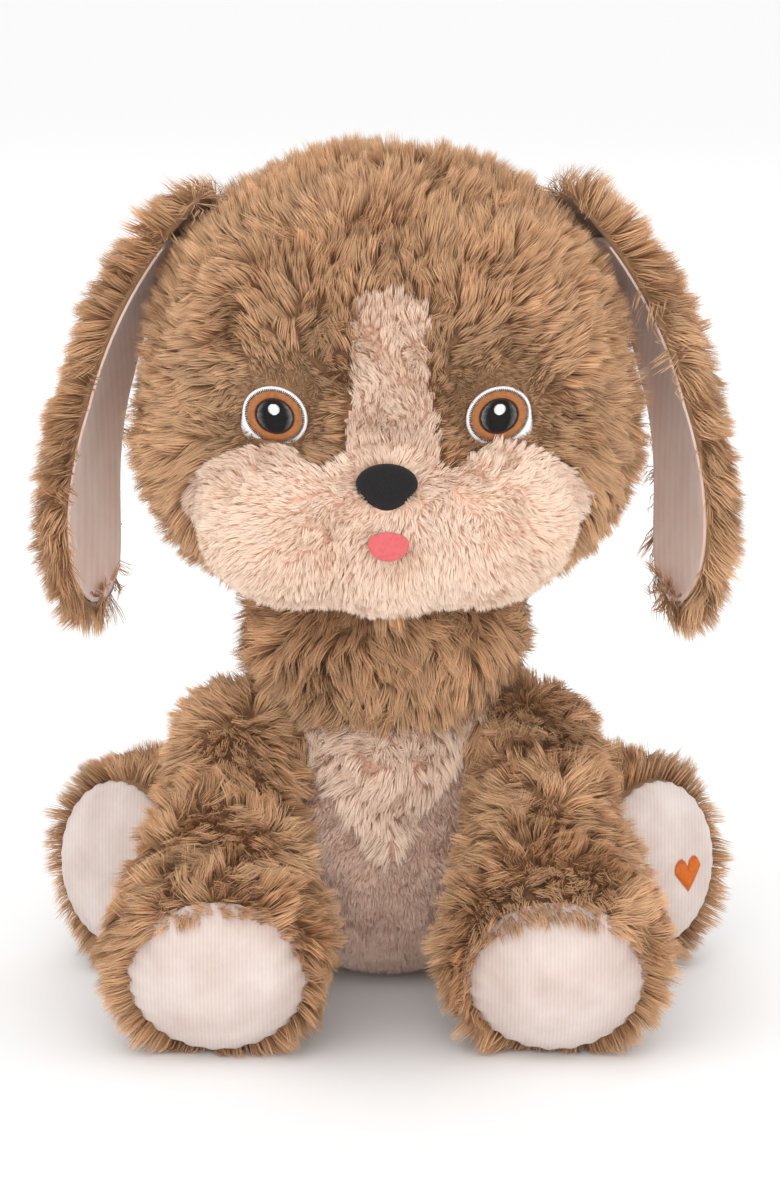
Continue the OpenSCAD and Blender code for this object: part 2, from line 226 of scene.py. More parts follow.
# ---- Pile ----
# The coat is knitted plush: fine fibres that stand in small locks, and locks that lean together
# in tufts. Every fibre here is a thin tapered ribbon rooted in the backing, combed by a flow
# field, drawn towards its lock, and paler at its tip than at its root.
def pile_points(form, density, rng):
    """Points spread evenly over a form, per square millimetre, with smooth normals."""
    mesh = form.data
    mesh.calc_loop_triangles()
    corner = np.empty(len(mesh.loop_triangles) * 3, np.int32)
    mesh.loop_triangles.foreach_get("vertices", corner)
    corner = corner.reshape(-1, 3)
    co = np.empty(len(mesh.vertices) * 3, np.float32)
    mesh.vertices.foreach_get("co", co)
    co = co.reshape(-1, 3).astype(float)
    normal = np.empty(len(mesh.vertices) * 3, np.float32)
    mesh.vertex_normals.foreach_get("vector", normal)
    normal = normal.reshape(-1, 3).astype(float)
    a, b, c = (co[corner[:, k]] for k in range(3))
    area = 0.5 * np.linalg.norm(np.cross(b - a, c - a), axis=1)
    count = int(area.sum() / MM**2 * density)
    pick = rng.choice(len(area), size=count, p=area / area.sum())
    u, v = rng.random((2, count))
    fold = u + v > 1
    u[fold], v[fold] = 1 - u[fold], 1 - v[fold]
    share = np.stack((1 - u - v, u, v), axis=1)[:, :, None]
    place = (co[corner[pick]] * share).sum(1)
    facing = (normal[corner[pick]] * share).sum(1)
    return place, facing / np.linalg.norm(facing, axis=1, keepdims=True)


def nearest(points, centres):
    """Index of the centre nearest to each point."""
    tree = KDTree(len(centres))
    for i, centre in enumerate(centres):
        tree.insert(centre, i)
    tree.balance()
    return np.array([tree.find(point)[1] for point in points])


def unit(v):
    return v / np.maximum(np.linalg.norm(v, axis=-1, keepdims=True), 1e-9)


swirl_rng = np.random.default_rng(7)
swirl_wave = swirl_rng.normal(size=(9, 3)) * 150
swirl_phase = swirl_rng.uniform(0, 2 * math.pi, 9)
swirl_push = swirl_rng.normal(size=(9, 3)) / 3


def swirl(p):
    """A smooth wandering direction, so that the coat lies a different way every few centimetres."""
    return np.sin(p @ swirl_wave.T + swirl_phase) @ swirl_push


ring_at = np.array((0.0, 0.5, 1.0))
ring_width = np.array((0.8, 1.0))


def pile(name, form, patch, length, flow, material, seed, density=2.7, width=0.31,
         wild=0.36, grip=0.5, lock_size=24, shade=None):
    """Grows the pile of one panel. patch, length, flow and shade take the points and normals."""
    rng = np.random.default_rng(seed)
    root, normal = pile_points(form, density, rng)
    keep = patch(root, normal)
    root, normal = root[keep], normal[keep]
    count = len(root)
    lock_of = nearest(root, root[: max(count // lock_size, 1)])
    lock_count = lock_of.max() + 1
    tuft_of = nearest(root[:lock_count], root[: max(lock_count // 9, 1)])
    tuft_lean = rng.normal(size=(tuft_of.max() + 1, 3)) * wild
    lock_lean = tuft_lean[tuft_of] + rng.normal(size=(lock_count, 3)) * wild * 0.6
    lean = lock_lean[lock_of] + rng.normal(size=(count, 3)) * wild * 0.45
    lean += swirl(root) * wild * 1.5
    comb = flow(root, normal)
    lock_long = rng.uniform(0.84, 1.10, lock_count)[lock_of]
    long = length(root, normal) * lock_long * rng.uniform(0.80, 1.10, count)
    rise = unit(normal * 1.1 + comb * 0.35 + lean * 0.35)
    tip = unit(normal * 0.42 + comb + lean)
    buried = (tip * normal).sum(1, keepdims=True)
    tip = unit(tip + normal * np.clip(0.18 - buried, 0, 1))
    at = ring_at[None, :, None]
    half = (long * MM / 2)[:, None, None]
    path = root[:, None] + half * (rise[:, None] * (2 * at - at**2) + tip[:, None] * at**2)
    spread = (root - root[:lock_count][lock_of])[:, None]
    pull = grip * at**1.3
    path = path * (1 - pull) + (path[:lock_count][lock_of] + spread * 0.4) * pull
    path[:, 0] -= normal * 0.6 * MM
    path[:, :, 2] = np.maximum(path[:, :, 2], floor_z)
    run = unit(path[:, 2] - path[:, 0])
    side = unit(np.cross(run, normal))
    roll = rng.normal(size=(count, 1)) * 0.6
    side = side * np.cos(roll) + np.cross(side, run) * np.sin(roll)
    reach = (ring_width * width / 2 * MM)[None, :, None] * side[:, None]
    vertex = np.concatenate((path[:, :2] - reach, path[:, :2] + reach, path[:, 2:]), axis=1)
    vertex = vertex.reshape(-1, 3)
    start = np.arange(count)[:, None] * 5
    quads = start + np.array((0, 2, 3, 1))
    tips = start + np.array((1, 3, 4))
    corners = np.concatenate((quads.ravel(), tips.ravel()))
    mesh = bpy.data.meshes.new(name)
    mesh.vertices.add(len(vertex))
    mesh.vertices.foreach_set("co", vertex.astype(np.float32).ravel())
    mesh.loops.add(len(corners))
    mesh.loops.foreach_set("vertex_index", corners.astype(np.int32))
    first = np.concatenate((np.arange(count) * 4, quads.size + np.arange(count) * 3))
    mesh.polygons.add(len(first))
    mesh.polygons.foreach_set("loop_start", first.astype(np.int32))
    mesh.update(calc_edges=True)
    vertex_at = np.concatenate((ring_at[:2], ring_at[:2], ring_at[2:]))
    lock_tone = rng.normal(size=lock_count) * 0.5 + rng.normal(size=tuft_of.max() + 1)[tuft_of] * 0.4
    tone = lock_tone[lock_of] + rng.normal(size=count) * 0.6
    if shade is not None:
        tone = tone + shade(root)
    for title, value in (("along", np.tile(vertex_at, count)), ("tone", np.repeat(tone, 5))):
        mesh.attributes.new(title, "FLOAT", "POINT").data.foreach_set("value", value.astype(np.float32))
    # every ribbon has its own small cell of the bake map, narrow across and long along it
    columns = math.ceil(math.sqrt(4 * count))
    rows = math.ceil(count / columns)
    strand = np.arange(count)
    cell_u = np.tile((0.2, 0.2, 0.8, 0.8, 0.5), (count, 1))
    cell_v = np.tile(vertex_at * 0.8 + 0.1, (count, 1))
    place = np.stack((((strand % columns)[:, None] + cell_u) / columns,
                      ((strand // columns)[:, None] + cell_v) / rows), axis=2).reshape(-1, 2)
    uv = mesh.uv_layers.new(name="OFBake")
    uv.data.foreach_set("uv", place[corners].astype(np.float32).ravel())
    mesh.shade_smooth()
    mesh.materials.append(material)
    piece = bpy.data.objects.new(name, mesh)
    bpy.context.scene.collection.objects.link(piece)
    return piece


# the tint of a fibre: root, middle and tip colours, varied by lock and in soft patches
tint = bpy.data.node_groups.new("fibre_tint", "ShaderNodeTree")
for socket in ("Root", "Middle", "Tip"):
    tint.interface.new_socket(socket, in_out="INPUT", socket_type="NodeSocketColor")
tint.interface.new_socket("Variation", in_out="INPUT", socket_type="NodeSocketFloat")
tint.interface.new_socket("Color", in_out="OUTPUT", socket_type="NodeSocketColor")


def link(tree, start, end):
    tree.links.new(start, end)


def math_node(tree, operation, a, b, clamp=False):
    """A math node fed by sockets or numbers; returns its output."""
    node = tree.nodes.new("ShaderNodeMath")
    node.operation = operation
    node.use_clamp = clamp
    for socket, value in zip(node.inputs, (a, b)):
        if isinstance(value, (int, float)):
            socket.default_value = value
        else:
            tree.links.new(value, socket)
    return node.outputs[0]


def mixed(tree, factor, a, b, mode="MIX"):
    """A colour mix node; returns its output."""
    node = tree.nodes.new("ShaderNodeMix")
    node.data_type = "RGBA"
    node.blend_type = mode
    for socket, value in ((node.inputs["Factor"], factor), (node.inputs[6], a), (node.inputs[7], b)):
        if isinstance(value, (int, float, tuple)):
            socket.default_value = value
        else:
            tree.links.new(value, socket)
    return node.outputs[2]


def attribute(tree, name):
    node = tree.nodes.new("ShaderNodeAttribute")
    node.attribute_name = name
    return node.outputs["Fac"]


group_in = tint.nodes.new("NodeGroupInput")
group_out = tint.nodes.new("NodeGroupOutput")
along = attribute(tint, "along")
low = math_node(tint, "MULTIPLY", along, 2.0, clamp=True)
high = math_node(tint, "MULTIPLY", math_node(tint, "SUBTRACT", along, 0.5), 2.0, clamp=True)
fibre = mixed(tint, low, group_in.outputs["Root"], group_in.outputs["Middle"])
fibre = mixed(tint, high, fibre, group_in.outputs["Tip"])
coords = tint.nodes.new("ShaderNodeTexCoord")
patches = tint.nodes.new("ShaderNodeTexNoise")
patches.inputs["Scale"].default_value = 28
link(tint, coords.outputs["Object"], patches.inputs["Vector"])
drift = math_node(tint, "MULTIPLY", math_node(tint, "SUBTRACT", patches.outputs["Fac"], 0.5), 2.0)
swing = math_node(tint, "ADD", attribute(tint, "tone"), drift)
swing = math_node(tint, "MULTIPLY", swing, group_in.outputs["Variation"])
swing = math_node(tint, "ADD", swing, 1.0)
gain = tint.nodes.new("ShaderNodeVectorMath")
gain.operation = "SCALE"
link(tint, fibre, gain.inputs[0])
link(tint, swing, gain.inputs["Scale"])
link(tint, gain.outputs[0], group_out.inputs["Color"])


def pile_material(name, root, middle, tip, variation, roughness=0.62):
    """The material of one colour of pile."""
    material, nodes, shader = plain_material(name, middle, roughness, 0.12)
    shader.inputs["Sheen Tint"].default_value = (*tip, 1)
    group = nodes.new("ShaderNodeGroup")
    group.node_tree = tint
    for socket, colour in (("Root", root), ("Middle", middle), ("Tip", tip)):
        group.inputs[socket].default_value = (*colour, 1)
    group.inputs["Variation"].default_value = variation
    link(material.node_tree, group.outputs["Color"], shader.inputs["Base Color"])
    return material


brown_pile = pile_material("brown_pile", (0.36, 0.19, 0.095), (0.56, 0.325, 0.175), (0.74, 0.47, 0.275), 0.16)
cream_pile = pile_material("cream_pile", (0.88, 0.60, 0.45), (0.96, 0.74, 0.59), (0.99, 0.83, 0.69), 0.03)
# the belly pile is a dustier, pinker cream, made darker still as painted shade for the belly in shade between the arms
belly_pile = pile_material("belly_pile", (0.70, 0.46, 0.35), (0.88, 0.64, 0.52), (0.95, 0.75, 0.63), 0.035)


def everywhere(p, n):
    return np.ones(len(p), bool)


def steady(value):
    return lambda p, n: np.full(len(p), float(value))


# ---- Head ----
# One big stuffed ball with full cheeks and a wide muzzle sewn on in front. The brown side
# panels meet a strip over the crown; the strip is pale between the eyes, like the muzzle.
# Pile is clipped short and darker round the eyes.
def muzzle_area(p, ragged=0.0):
    x, z = np.abs(p[:, 0]) / MM, p[:, 2] / MM
    brow = 189 - 6.5 * np.exp(-((x - 19) / 9) ** 2) - 2 * (x > 48)
    shape = (x / 64) ** 3 + (np.abs(z - 161) / np.where(z > 161, 30, 24.5)) ** 2.6
    return (p[:, 1] < -27 * MM) & (shape < 1) & (z < brow + ragged)


def blaze_area(p):
    x, z = p[:, 0] / MM, p[:, 2] / MM
    half = 11.5 + 2.5 * np.clip((212 - z) / 20, 0, 1) + 0.7 * np.sin(z * 0.9) + 0.5 * np.sin(z * 2.3 + x)
    top = 236 - 4 * (x / 12) ** 2 + np.sin(x * 1.7)
    return (np.abs(x - 1.5) < half) & (z < top) & (p[:, 1] < 0) & (z > 150)


bm = bmesh.new()
ball(bm, (0, 3, 208), (71, 60, 60))
for side in (-1, 1):
    ball(bm, (side * 34, 0, 184), (43, 50, 44))
    ball(bm, (side * 29, -12, 215), (39, 46, 40))
    ball(bm, (side * 27, -48, 163), (32, 26, 23))
ball(bm, (0, -46, 162), (30, 30, 25))
ball(bm, (0, -4, 164), (52, 44, 29))
head_form = stuffed(bm, "head_form", 4, lambda p: muzzle_area(p) | blaze_area(p))
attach(head_form, "head")
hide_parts("head_stuffing", "muzzle_stuffing")

eye_centres = {1: Vector((35, 0, 199)) * MM, -1: Vector((-35, 0, 199)) * MM}


def eye_distance(p):
    """Distance from the nearer eye's centre, seen from the front, in millimetres."""
    x = np.abs(p[:, 0]) - eye_centres[1].x
    return np.hypot(x, p[:, 2] - eye_centres[1].z) / MM


def nose_hole(p):
    return (np.hypot(p[:, 0], p[:, 2] - 0.178) < 5.5 * MM) & (p[:, 1] < -30 * MM)


def in_front(p):
    return p[:, 1] < -30 * MM


def not_in_eye(p):
    return (eye_distance(p) > 9.8) | ~in_front(p)


def brown_head(p, sign):
    pale = muzzle_area(p) | blaze_area(p)
    side = p[:, 0] > 0 if sign > 0 else p[:, 0] <= 0
    under_neck = np.linalg.norm(p - np.array((0, 0.004, 0.116)), axis=1) < 0.040
    return side & ~pale & not_in_eye(p) & ~under_neck


muzzle_point = np.array((0, -0.062, 0.186))


def head_flow(p, n):
    out = unit(p - muzzle_point)
    fall = np.clip((0.245 - p[:, 2]) / 0.09, 0, 1)[:, None]
    return out * 0.85 + np.array((0, 0, -0.75)) * fall + np.array((0, 0.1, 0))


def head_length(p, n):
    near = np.clip((eye_distance(p) - 8) / 17, 0.28, 1)
    front = np.clip((-p[:, 1] / MM - 20) / 30, 0, 1)
    return 12.5 * np.where(in_front(p), near, 1) * (1 - 0.18 * front)


def eye_shade(p):
    patch = np.exp(-((eye_distance(p) / 19) ** 2)) * in_front(p)
    brow = np.exp(-(((p[:, 0] / MM - 25) / 10) ** 2 + ((p[:, 2] / MM - 214) / 12) ** 2))
    brow = brow + np.exp(-(((p[:, 0] / MM + 25) / 10) ** 2 + ((p[:, 2] / MM - 214) / 12) ** 2))
    return -2.4 * patch - 1.2 * brow * in_front(p)


for sign, label in ((1, "left"), (-1, "right")):
    piece = pile(
        f"head_{label}_pile", head_form, lambda p, n, s=sign: brown_head(p, s), head_length,
        head_flow, brown_pile, seed=20 + sign, shade=eye_shade,
    )
    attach(piece, "head")
    nodes = [f"head_{label}_panel"] + (["head_gusset", "chin_panel"] if sign > 0 else [])
    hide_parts(*nodes)


def muzzle_flow(p, n):
    out = unit((p - np.array((0, -0.072, 0.178))) * np.array((1, 0.6, 1)))
    return out * 0.9 + np.array((0, 0, -0.2))


muzzle_pile = pile(
    "muzzle_pile", head_form,
    lambda p, n: muzzle_area(p) & ~nose_hole(p) & not_in_eye(p), steady(5.2), muzzle_flow,
    cream_pile, seed=31, density=5.5, width=0.26, wild=0.30, grip=0.4, lock_size=20,
)
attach(muzzle_pile, "head")
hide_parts("muzzle_cover")

blaze_pile = pile(
    "blaze_pile", head_form,
    lambda p, n: blaze_area(p) & ~muzzle_area(p) & ~nose_hole(p), steady(7.5),
    lambda p, n: np.array((0, 0.1, 0.75)) + 0 * p, cream_pile, seed=32, density=5.0,
    wild=0.24, grip=0.35, lock_size=20, width=0.26,
)
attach(blaze_pile, "head")
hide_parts("face_blaze")

# ---- Neck ----
# A short round sleeve between head and body, in the same shaggy brown pile.
bm = bmesh.new()
ball(bm, (0, 3, 116), (41, 39, 36))
neck_form = stuffed(bm, "neck_form", 2)
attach(neck_form, "neck")
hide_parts("neck_stuffing")


def down_flow(p, n):
    return np.array((0, -0.1, -0.8)) + n * 0.25


neck_pile = pile(
    "neck_pile", neck_form, lambda p, n: (p[:, 2] < 0.142) & (p[:, 2] > 0.086), steady(13),
    down_flow, brown_pile, seed=41, wild=0.5,
)
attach(neck_pile, "neck")
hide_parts("neck_cover")

# ---- Body ----
# A pear-shaped bag with a pale pointed bib, a clipped belly panel below it that runs on under
# the seat, and brown sides and back. A cloth bag of pellets lies inside, over the seat.
def bib_area(p):
    x, z = np.abs(p[:, 0]) / MM, p[:, 2] / MM
    return (p[:, 1] < -8 * MM) & (x < (z - 47) * 0.66) & (x < 35)


def belly_area(p):
    x = np.abs(p[:, 0]) / MM
    return (p[:, 1] < 5 * MM) & (x < 26) & ~bib_area(p)


bm = bmesh.new()
ball(bm, (0, 10, 46), (45, 45, 46))
ball(bm, (0, 8, 66), (42, 40, 34))
ball(bm, (0, -4, 80), (33, 30, 22))
for side in (-1, 1):
    ball(bm, (side * 27, -1, 80), (25, 25, 22))
torso_form = stuffed(bm, "torso_form", 3, lambda p: bib_area(p) | belly_area(p))
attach(torso_form, "torso")
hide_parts("torso_stuffing")


for sign, label in ((1, "left"), (-1, "right")):
    piece = pile(
        f"torso_{label}_pile", torso_form,
        lambda p, n, s=sign: (p[:, 0] * s >= 0) & ~bib_area(p) & ~belly_area(p) & (p[:, 2] > 0.004),
        steady(11), down_flow, brown_pile, seed=50 + sign, density=2.4,
    )
    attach(piece, "torso")
    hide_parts(f"torso_{label}_panel")

bib_pile = pile(
    "bib_pile", torso_form, lambda p, n: bib_area(p), steady(9.5), down_flow, cream_pile,
    seed=53, density=5, width=0.27, wild=0.30, grip=0.4, lock_size=24,
)
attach(bib_pile, "torso")
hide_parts("chest_bib")

# the clipped belly pile, its cream darkened partly as painted shade
belly_pile_piece = pile(
    "belly_pile", torso_form, lambda p, n: belly_area(p) & (p[:, 2] > 0.0015), steady(3.6),
    down_flow, belly_pile, seed=54, density=7, width=0.24, wild=0.25, grip=0.3,
)
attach(belly_pile_piece, "torso")
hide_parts("belly_panel")

# ---- Velvet ----
# Soft short velour for the toe caps, the soles and the ear linings: a faint lengthwise rib, a
# cloudy nap that has been stroked both ways, and a pale sheen. Its colour is painted sheen and
# shade: a lit and a shaded copy of it, mixed along the rib and in cloudy patches where the nap
# catches the light.
nap = bpy.data.node_groups.new("velvet_nap", "ShaderNodeTree")
nap.interface.new_socket("Base", in_out="INPUT", socket_type="NodeSocketColor")
nap.interface.new_socket("Shadow", in_out="INPUT", socket_type="NodeSocketColor")
nap.interface.new_socket("Rib Scale", in_out="INPUT", socket_type="NodeSocketFloat")
nap.interface.new_socket("Color", in_out="OUTPUT", socket_type="NodeSocketColor")
nap.interface.new_socket("Height", in_out="OUTPUT", socket_type="NodeSocketFloat")
nap_in = nap.nodes.new("NodeGroupInput")
nap_out = nap.nodes.new("NodeGroupOutput")
nap_coords = nap.nodes.new("ShaderNodeTexCoord")
rib = nap.nodes.new("ShaderNodeTexWave")
rib.bands_direction = "X"
rib.inputs["Distortion"].default_value = 1.2
rib.inputs["Detail Scale"].default_value = 3
link(nap, nap_coords.outputs["Object"], rib.inputs["Vector"])
link(nap, nap_in.outputs["Rib Scale"], rib.inputs["Scale"])
cloud = nap.nodes.new("ShaderNodeTexNoise")
cloud.inputs["Scale"].default_value = 60
cloud.inputs["Detail"].default_value = 5
link(nap, nap_coords.outputs["Object"], cloud.inputs["Vector"])
grain = nap.nodes.new("ShaderNodeTexNoise")
grain.inputs["Scale"].default_value = 1500
link(nap, nap_coords.outputs["Object"], grain.inputs["Vector"])
rib_part = math_node(nap, "MULTIPLY", rib.outputs["Fac"], 0.30)
cloud_part = math_node(nap, "MULTIPLY", cloud.outputs["Fac"], 0.9)
# painted sheen and shade: the lit Base colour where rib and cloud run high, the Shadow colour elsewhere
painted_sheen_and_shade = math_node(nap, "ADD", rib_part, math_node(nap, "MULTIPLY", cloud_part, 2.2))
painted_sheen_and_shade = math_node(nap, "SUBTRACT", painted_sheen_and_shade, 0.62, clamp=True)
link(nap, mixed(nap, painted_sheen_and_shade, nap_in.outputs["Shadow"], nap_in.outputs["Base"]), nap_out.inputs["Color"])
grain_part = math_node(nap, "MULTIPLY", grain.outputs["Fac"], 0.5)
link(nap, math_node(nap, "ADD", rib_part, grain_part), nap_out.inputs["Height"])


def velvet_material(name, base, shadow, rib_scale):
    """Velvet in one colour, as a lit and a shaded copy mixed into painted sheen and shade, with its rib this fine."""
    material, nodes, shader = plain_material(name, base, 0.75, 0.25)
    group = nodes.new("ShaderNodeGroup")
    group.node_tree = nap
    group.inputs["Base"].default_value = (*base, 1)
    group.inputs["Shadow"].default_value = (*shadow, 1)
    group.inputs["Rib Scale"].default_value = rib_scale
    bump = nodes.new("ShaderNodeBump")
    bump.inputs["Strength"].default_value = 0.35
    bump.inputs["Distance"].default_value = 0.0004
    link(material.node_tree, group.outputs["Color"], shader.inputs["Base Color"])
    link(material.node_tree, group.outputs["Height"], bump.inputs["Height"])
    link(material.node_tree, bump.outputs["Normal"], shader.inputs["Normal"])
    return material


# each velvet gets a lit and a shaded copy of its colour, for its painted sheen and shade
sole_velvet = velvet_material("sole_velvet", (0.70, 0.61, 0.565), (0.53, 0.41, 0.365), 260)
ear_velvet = velvet_material("ear_velvet", (0.95, 0.76, 0.67), (0.82, 0.58, 0.49), 190)

# ---- Front legs ----
# Long stuffed tubes that hang from the shoulders and widen to round paws on the floor. A
# velvet toe cap closes the front of each paw, and brown pile hangs over its upper edge.
paw = Vector((53, -80, 33)) * MM
cap_dip = math.radians(20)
cap_way = Vector((0, -math.cos(cap_dip), -math.sin(cap_dip)))
cap_seam = 17.5 * MM


def mirrored(v, sign):
    return Vector((v[0] * sign, v[1], v[2]))


for sign, label in ((1, "left"), (-1, "right")):
    shoulder = joint_pos[f"{label}_arm_raise"]
    paw_here = mirrored(paw, sign)
    arm_way = (paw_here - shoulder).normalized()
    bm = bmesh.new()
    limb(bm, shoulder / MM, shoulder.lerp(paw_here, 0.6) / MM, (16, 18, 19, 21))
    limb(bm, shoulder.lerp(paw_here, 0.6) / MM, paw_here / MM, (21, 26, 30))
    ball(bm, paw_here / MM + Vector((0, -1, -1)), (31.5, 30, 30))
    form = stuffed(bm, f"{label}_arm_form", 2)
    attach(form, f"{label}_arm")
    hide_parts(f"{label}_arm_stuffing")

    def on_cap(p, centre=np.array(paw_here)):
        return (p - centre) @ np.array(cap_way) > cap_seam

    def arm_flow(p, n, way=np.array(arm_way), centre=np.array(paw_here)):
        outward = unit(p - centre) * np.array((1, 1, 0.2))
        low = np.clip((0.05 - p[:, 2]) / 0.05, 0, 1)[:, None]
        return way * 0.3 + outward * (0.2 + 0.3 * low) + n * 0.2 + np.array((0, 0, -0.6))

    piece = pile(
        f"{label}_arm_pile", form, lambda p, n: ~on_cap(p) & (p[:, 2] > 0.003),
        steady(12), arm_flow, brown_pile, seed=60 + sign, wild=0.42,
    )
    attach(piece, f"{label}_arm")
    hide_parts(f"{label}_arm_cover")

    bm = bmesh.new()
    turn = Vector((0, 0, 1)).rotation_difference(cap_way).to_matrix().to_4x4()
    bmesh.ops.create_uvsphere(bm, u_segments=96, v_segments=48, radius=32.6 * MM, matrix=turn)
    near = bm.verts[:] + bm.edges[:] + bm.faces[:]
    bmesh.ops.bisect_plane(bm, geom=near, plane_co=cap_way * (cap_seam - 2 * MM), plane_no=cap_way,
                           clear_inner=True)
    for vertex in bm.verts:
        # the seam gathers the velvet into small soft pleats that fade out towards the toes
        flat = vertex.co - cap_way * vertex.co.dot(cap_way)
        rim = min(flat.length / (27 * MM), 1.0) ** 8
        angle = math.atan2(flat.x, flat.z)
        vertex.co += vertex.co.normalized() * rim * 0.45 * MM * math.sin(26 * angle + 2 * math.sin(3 * angle))
    bmesh.ops.translate(bm, verts=bm.verts, vec=paw_here)
    for vertex in bm.verts:
        vertex.co.z = max(vertex.co.z, floor_z)
    bmesh.ops.recalc_face_normals(bm, faces=bm.faces)
    bmesh.ops.solidify(bm, geom=bm.faces[:], thickness=1.5 * MM)
    cap = piece_from(bm, f"{label}_toe_cap", sole_velvet)
    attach(cap, f"{label}_arm")
    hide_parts(f"{label}_paw_cap")

# ---- Hind legs ----
# Short thick tubes that point forwards and outwards. A round velvet sole closes each one, and
# the brown pile stands in a ring round it.
leg_splay = math.radians(45)
leg_rise = math.radians(7)
leg_pieces = {}
for sign, label in ((1, "left"), (-1, "right")):
    hip = joint_pos[f"{label}_leg_spread"]
    way = Vector((sign * math.sin(leg_splay) * math.cos(leg_rise),
                  -math.cos(leg_splay) * math.cos(leg_rise), math.sin(leg_rise)))
    bm = bmesh.new()
    limb(bm, hip / MM, (hip + way * 34 * MM) / MM, (27.5, 31.5))
    form = stuffed(bm, f"{label}_leg_form", 2)
    sole_plane = 50.5 * MM
    for vertex in form.data.vertices:
        over = (vertex.co - hip).dot(way) - sole_plane
        if over > 0:
            vertex.co -= way * over
    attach(form, f"{label}_leg")
    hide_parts(f"{label}_leg_stuffing")

    def leg_far(p, hip=np.array(hip), way=np.array(way)):
        return (p - hip) @ way

    def leg_out(p, hip=np.array(hip), way=np.array(way)):
        return unit(p - hip - leg_far(p)[:, None] * way)

    def leg_flow(p, n, way=np.array(way)):
        rim = np.clip((leg_far(p) / MM - 28) / 18, 0, 1)[:, None]
        return way * (0.85 - 0.35 * rim) + leg_out(p) * (0.15 + 0.6 * rim) + np.array((0, 0, -0.2))

    piece = pile(
        f"{label}_leg_pile", form,
        lambda p, n: (leg_far(p) < 48.5 * MM) & (p[:, 2] > 0.003), steady(11), leg_flow,
        brown_pile, seed=70 + sign, density=2.6, wild=0.40,
    )
    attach(piece, f"{label}_leg")
    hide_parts(f"{label}_leg_cover")

    bm = bmesh.new()
    turn = Vector((0, 0, 1)).rotation_difference(way).to_matrix().to_4x4()
    bmesh.ops.create_uvsphere(bm, u_segments=96, v_segments=48, radius=1)
    for vertex in bm.verts:
        angle = math.atan2(vertex.co.y, vertex.co.x)
        rim = math.hypot(vertex.co.x, vertex.co.y) ** 10
        pleat = 1 + 0.012 * rim * math.sin(30 * angle + 2 * math.sin(2 * angle))
        vertex.co = Vector((vertex.co.x * 28.5 * MM * pleat, vertex.co.y * 28.5 * MM * pleat,
                            vertex.co.z * 6.5 * MM))
    bmesh.ops.transform(bm, matrix=Matrix.Translation(hip + way * sole_plane) @ turn, verts=bm.verts)
    sole = piece_from(bm, f"{label}_sole_pad", sole_velvet)
    inflated(sole, 6, 1.2 * MM)
    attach(sole, f"{label}_leg")
    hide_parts(f"{label}_sole")
    leg_pieces[label] = (hip, way, sole)

# ---- Tail ----
# A short stuffed tail at the back of the seat, covered in brown pile.
tail_root = joint_pos["tail_wag"]
tail_way = Vector((0, math.cos(math.radians(35)), math.sin(math.radians(35))))
bm = bmesh.new()
limb(bm, tail_root / MM, (tail_root + tail_way * 34 * MM) / MM, (9, 8.5, 7))
tail_form = stuffed(bm, "tail_form", 1)
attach(tail_form, "tail")
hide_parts("tail_stuffing")
tail_pile = pile(
    "tail_pile", tail_form, everywhere, steady(10), lambda p, n: np.array(tail_way) * 0.9 + 0 * p,
    brown_pile, seed=81,
)
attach(tail_pile, "tail")
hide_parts("tail_cover")

# ---- Ears ----
# A long leaf in two layers, brown pile outside and ribbed velour inside, sewn to the side of
# the crown. It bows outwards and then hangs, with its front edge turned a little outwards.
ear_arc = Vector((-35.5, 0, 156.5)) * MM
ear_radius = 138.7 * MM
ear_root_angle = math.radians(48)
ear_length = 151 * MM
ear_yaw = math.radians(14)


def ear_half_width(s):
    t = 0.10 + 0.90 * s
    return 41 * MM * t**0.60 * math.sqrt(max(1 - t**7, 0.0))


def ear_layer(sign, hinge, inner, outer, inset, start=0.0):
    """One layer of an ear as a closed leaf between two depths, bent along the ear's arc."""
    bm = bmesh.new()
    bmesh.ops.create_grid(bm, x_segments=28, y_segments=60, size=1)
    for vertex in bm.verts:
        s = start + (1 - start) * (vertex.co.y + 1) / 2
        w = vertex.co.x
        half = max(ear_half_width(s) - inset, 0.2 * MM)
        angle = ear_root_angle - s * (ear_length - inset) / ear_radius
        edge = abs(w) ** 3
        depth = outer * (1 - 0.7 * edge)
        curl = -5 * MM * w * w * min(s * 2, 1) + 1.2 * MM * math.sin(5 * s + 2 * w)
        r = ear_radius + depth + curl
        vertex.co = ear_arc + Vector((r * math.cos(angle), -w * half, r * math.sin(angle)))
    bmesh.ops.recalc_face_normals(bm, faces=bm.faces)
    bmesh.ops.solidify(bm, geom=bm.faces[:], thickness=inner)
    turn = Matrix.Translation(hinge) @ Matrix.Rotation(ear_yaw, 4, "Z") @ Matrix.Translation(-hinge)
    bmesh.ops.transform(bm, matrix=turn, verts=bm.verts)
    if sign < 0:
        bmesh.ops.scale(bm, vec=(-1, 1, 1), verts=bm.verts)
    bmesh.ops.recalc_face_normals(bm, faces=bm.faces)
    return bm


